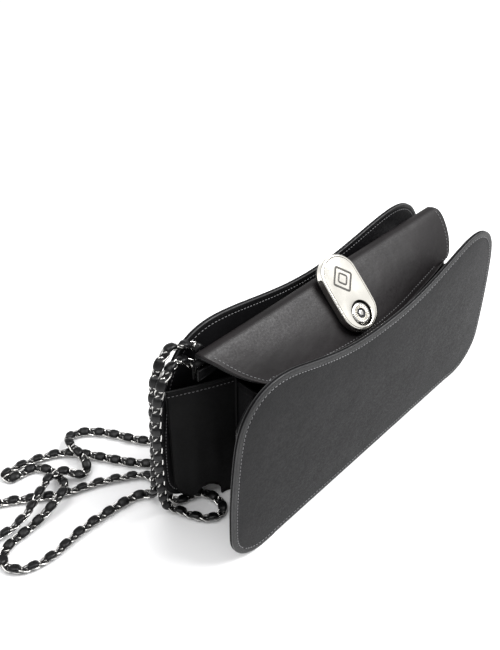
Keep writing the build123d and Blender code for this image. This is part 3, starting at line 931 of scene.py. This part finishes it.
def make_root():
    """Strip behind the flap, rolled along its top, with a hole at each eyelet."""
    low, high = box_mm("flap_root")
    y_near, y_far = ROOT_Y
    profile = [(y_far, z) for z in np.arange(low[2] + 0.3, ROOT_TOP, 0.5)]
    profile += [(HINGE[0] + ROLL_R * math.cos(turn), HINGE[1] + ROLL_R * math.sin(turn))
                for turn in np.linspace(-0.3, 4.0, 12)]
    x = np.unique(np.concatenate([np.linspace(low[0] + 0.3, high[0] - 0.3, 60)]
                                 + [np.arange(e - 4.5, e + 4.6, 0.5) for e in EYELETS]))
    grid = np.array([[(v, y, z) for v in x] for y, z in profile])
    piece, *_ = slab("flap_root_strip", grid, y_far - y_near, [SHADED_GUSSET] * 3,
                     facing=(0, 1, 0), bulge=0.2)
    mesh = piece.data
    centres = np.array([p.center for p in mesh.polygons]) / MM
    in_hole = np.zeros(len(centres), bool)
    for e in EYELETS:
        near = np.hypot(centres[:, 0] - e, centres[:, 2] - EYELET_Z) < EYELET_HOLE_R
        in_hole |= near & (centres[:, 1] > 15)
    kept = [(tuple(p.vertices), p.material_index) for p, gone in zip(mesh.polygons, in_hole) if not gone]
    points = [tuple(v.co) for v in mesh.vertices]
    mesh.clear_geometry()
    mesh.from_pydata(points, [], [corners for corners, _ in kept])
    mesh.polygons.foreach_set("material_index", [material for _, material in kept])
    mesh.polygons.foreach_set("use_smooth", [True] * len(kept))
    mesh.update()
    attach(piece, "bag")
    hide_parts("flap_root")


def finish_metal():
    """The fittings keep their CAD shapes and get a plated finish."""
    finishes = {"eyelet": SILVER, "clasp_rivet": SILVER, "clasp_back_plate": BRUSHED, "clasp_socket": BRUSHED}
    for name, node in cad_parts.items():
        for start, material in finishes.items():
            if name.startswith(start):
                node.data.materials.clear()
                node.data.materials.append(material)


# ---- strap

ANCHORED_Y = 13.6
FLOOR = 2.6  # height of a strand's line that lies on the table
ABOVE = 8.2  # and of one that lies over another
# the points that steer each strand; one with no height lies on the table
OUTER_STRAND = [
    (-90, ANCHORED_Y, EYELET_Z), (-90, 21.6, EYELET_Z), (-93.5, 23.2, 110), (-103, 24, 115),
    (-110.8, 24.4, 117.5), (-117.8, 24.4, 110.5), (-122, 24.4, 97), (-122.7, 25, 72), (-122.8, 28.3, 40),
    (-122.3, 32, 15), (-119.3, 39), (-125.8, 45), (-142.2, 47), (-163.2, 48.2), (-182.5, 44.7),
    (-199, 48.5), (-205.5, 59.5), (-198, 68.5), (-180, 69), (-163, 70, ABOVE), (-153.5, 74.5, ABOVE),
    (-150.3, 86.2), (-151.3, 96.5), (-156.5, 105), (-165, 106), (-173.5, 107.3), (-172.5, 114),
    (-159.5, 111.8), (-149, 108), (-139, 103.3), (-130.5, 93.5), (-121.6, 78.7), (-110, 60.3),
    (-94, 47.5), (-60, 44), (-15, 46), (35, 43), (85, 45), (113, 41), (125.5, 27, FLOOR + 5),
    (125.5, 20, 28), (124.5, 18, 62), (121.5, 20, 88), (112, 22.8, 98.8), (98.2, 22.8, EYELET_Z),
    (98.2, ANCHORED_Y, EYELET_Z),
]
INNER_STRAND = [
    (-98.2, ANCHORED_Y, EYELET_Z), (-98.2, 21.4, EYELET_Z), (-104.5, 21.8, 108), (-113.3, 19.8, 110.4),
    (-121, 18.8, 104), (-125.2, 19.6, 86), (-125.3, 20.8, 55), (-123.6, 24.2, 20.5),
    (-119.7, 26.6, FLOOR + 1), (-115.6, 18.4), (-112.2, 9.2), (-105.5, 0.8), (-97, 1), (-94.5, 10.2),
    (-99, 22.2), (-111.5, 22.4), (-115, 32.5), (-110.4, 51.6), (-123, 60.4), (-137.5, 69), (-155.5, 75.4),
    (-171.5, 87), (-188, 99), (-204.5, 98.5), (-210.5, 84.5), (-198.7, 76), (-186, 74, FLOOR + 3),
    (-177, 75.5, ABOVE), (-169.5, 80, ABOVE), (-161.5, 85.3, ABOVE), (-154, 88.2, ABOVE),
    (-146.8, 85, ABOVE), (-141.5, 78, FLOOR + 1), (-135.5, 79.8), (-133, 86, FLOOR + 3),
    (-134, 93.5, ABOVE), (-133.5, 103.5, ABOVE), (-127.5, 110.5, FLOOR + 1), (-118, 107), (-107.5, 93.8),
    (-98.5, 74.5), (-82, 59), (-45, 54), (5, 57), (55, 53), (100, 56), (128, 45), (132, 26, FLOOR + 4),
    (130.5, 14, 26), (128.5, 11.5, 58), (123.5, 13.5, 84), (113.5, 16.6, 94.2), (100.5, 22.8, 94.4),
    (90, 22.8, EYELET_Z), (90, ANCHORED_Y, EYELET_Z),
]
LINK_PITCH = 4.9
LINK_HALF = (3.8, 2.2)  # centreline of a link, along and across the strand
LINK_TWIST = 0.8  # how far its sides rise and fall, so that links pass through each other
LINK_STEPS = 24
WIRE = (0.46, 0.4)
WIRE_STEPS = 8
LACE_RISE = 0.9  # how far the lace rises over a link and sinks under the next
LACE_HALF = (2.75, 1.5)
LACE_STEPS = 12
OVER_SHARE = 0.42  # more than half of the lace shows above the links
OVER_STEEP = 2.2
SAMPLE = 0.25
LIES_UP = np.array([[0, 0, 1.0]])  # where the strand's flat side faces as it lies, and as it hangs
HANGS_OUT = np.array([[-0.72, -0.96, 0]])


def route_line(name, points):
    """Points read off the smooth curve that a strand's route controls."""
    data = bpy.data.curves.new(name, "CURVE")
    data.dimensions = "3D"
    data.resolution_u = 16
    spline = data.splines.new("NURBS")
    spline.points.add(len(points) - 1)
    for slot, (x, y, *height) in zip(spline.points, points):
        z = height[0] if height else FLOOR
        slot.co = (x * MM, y * MM, z * MM, 1)
    spline.order_u = 3
    spline.use_endpoint_u = True
    curve = bpy.data.objects.new(name, data)
    line = bpy.data.meshes.new_from_object(curve)
    found = np.array([v.co for v in line.vertices]) / MM
    bpy.data.objects.remove(curve)
    bpy.data.meshes.remove(line)
    return found


def averaged(values, reach):
    """Running mean along the first axis."""
    kernel = np.hanning(2 * reach + 1)
    kernel /= kernel.sum()
    padded = np.pad(values, ((reach, reach), (0, 0)), mode="edge")
    return np.stack([np.convolve(padded[:, k], kernel, mode="valid") for k in range(values.shape[1])], axis=1)


class Strand:
    """A strand's line with a frame at any distance along it; its flat side lies up, or away from the bag."""

    def __init__(self, points, roll):
        self.line, self.along = respaced(route_line("route", points), SAMPLE)
        self.length = self.along[-1]
        tangents = unit(np.gradient(self.line, axis=0))
        steep = tangents[:, 2:] ** 2
        wanted = averaged(LIES_UP * (1 - steep) + HANGS_OUT * steep, 24)
        ups = unit(wanted - tangents * np.sum(wanted * tangents, axis=1)[:, None])
        sides = np.cross(ups, tangents)
        angle = roll(self.along)[:, None]
        self.sides = sides * np.cos(angle) + ups * np.sin(angle)
        self.ups = ups * np.cos(angle) - sides * np.sin(angle)

    def at(self, s, values):
        return np.stack([np.interp(s, self.along, values[:, k]) for k in range(3)], axis=-1)

    def place(self, s, side, up):
        """Points at distances s along, offset to the side and up."""
        return (self.at(s, self.line) + self.at(s, self.sides) * side[..., None]
                + self.at(s, self.ups) * up[..., None])


def link_points():
    """One curb link lying along X, as rings of points round its wire."""
    t = ring_angles(LINK_STEPS)
    centre = np.stack([LINK_HALF[0] * np.cos(t), LINK_HALF[1] * np.sin(t), LINK_TWIST * np.sin(2 * t)],
                      axis=1)
    ahead = loop_ahead(centre)
    outward = np.stack([np.cos(t), np.sin(t), np.zeros_like(t)], axis=1)
    outward = unit(outward - ahead * np.sum(outward * ahead, axis=1)[:, None])
    across = np.cross(ahead, outward)
    angle = ring_angles(WIRE_STEPS)[:, None]
    ring = outward[:, None] * np.cos(angle) * WIRE[0] + across[:, None] * np.sin(angle) * WIRE[1]
    return (centre[:, None] + ring).reshape(-1, 3), grid_faces(LINK_STEPS, WIRE_STEPS, True, True)


def chain_links(strand):
    """Points and faces of a strand's links, and the distance along it of the first."""
    shape, shape_faces = link_points()
    parts = []
    count = int(strand.length // LINK_PITCH)
    start = (strand.length - (count - 1) * LINK_PITCH) / 2
    for i in range(count):
        s = start + i * LINK_PITCH
        reach = LINK_PITCH * 0.6
        near, far = strand.at(np.array([s - reach, s + reach]), strand.line)
        x_axis = unit(far - near)
        z_axis = strand.at(s, strand.ups)
        z_axis = unit(z_axis - x_axis * (z_axis @ x_axis))
        y_axis = np.cross(z_axis, x_axis)
        middle = (strand.at(s, strand.line) * 2 + near + far) / 4
        parts.append((middle + shape @ np.stack([x_axis, y_axis, z_axis]), shape_faces))
    return *joined(parts), start


def lace(strand, start):
    """Padded leather strip woven over one link and under the next."""
    s = np.arange(0.3, strand.length - 0.3, 0.4)
    wave = np.cos((s - start) / LINK_PITCH * math.pi)
    over = np.tanh(OVER_STEEP * (wave + OVER_SHARE))
    puff = 0.64 + 0.36 * np.sqrt(np.clip((wave + 0.6) / 1.6, 0, 1))  # it swells where it lies over a link
    angle = ring_angles(LACE_STEPS)
    c, d = np.cos(angle), np.sin(angle)
    section_side = np.sign(c) * np.abs(c) ** 0.75
    section_up = np.sign(d) * np.abs(d) ** 0.85
    side = (LACE_HALF[0] * puff)[:, None] * section_side
    up = (LACE_RISE * over)[:, None] + (LACE_HALF[1] * puff)[:, None] * section_up
    points = strand.place(np.repeat(s[:, None], LACE_STEPS, 1), side, up)
    return points.reshape(-1, 3), tube_faces(len(s), LACE_STEPS, flip=True)


def make_strand(name, node, points, roll):
    strand = Strand(points, roll)
    links, link_faces, start = chain_links(strand)
    strip, strip_faces = lace(strand, start)
    which = [0] * len(link_faces) + [1] * len(strip_faces)
    piece = mesh_object(name, *joined([(links, link_faces), (strip, strip_faces)]), [SILVER, LEATHER], which)
    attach(piece, "bag")
    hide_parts(node)


# ---- everything

make_camera()
make_floor()
make_lights()
outer_panel("front_panel_face", "front_panel", "front", -PANEL_Y, -1)
outer_panel("back_panel_face", "back_panel", "bag", PANEL_Y, 1)
make_flap()
make_plate()
make_engraving()
make_pad()
make_button()
for side in ("left", "right"):
    for which in ("front", "back"):
        make_leaf(side, which)
make_compartment()
make_catch()
make_root()
finish_metal()
make_strand("strap_outer", "strap_strand_outer", OUTER_STRAND, lambda s: 0.35 * np.sin(s / 31))
make_strand("strap_inner", "strap_strand_inner", INNER_STRAND, lambda s: 0.35 * np.sin(s / 37 + 1))
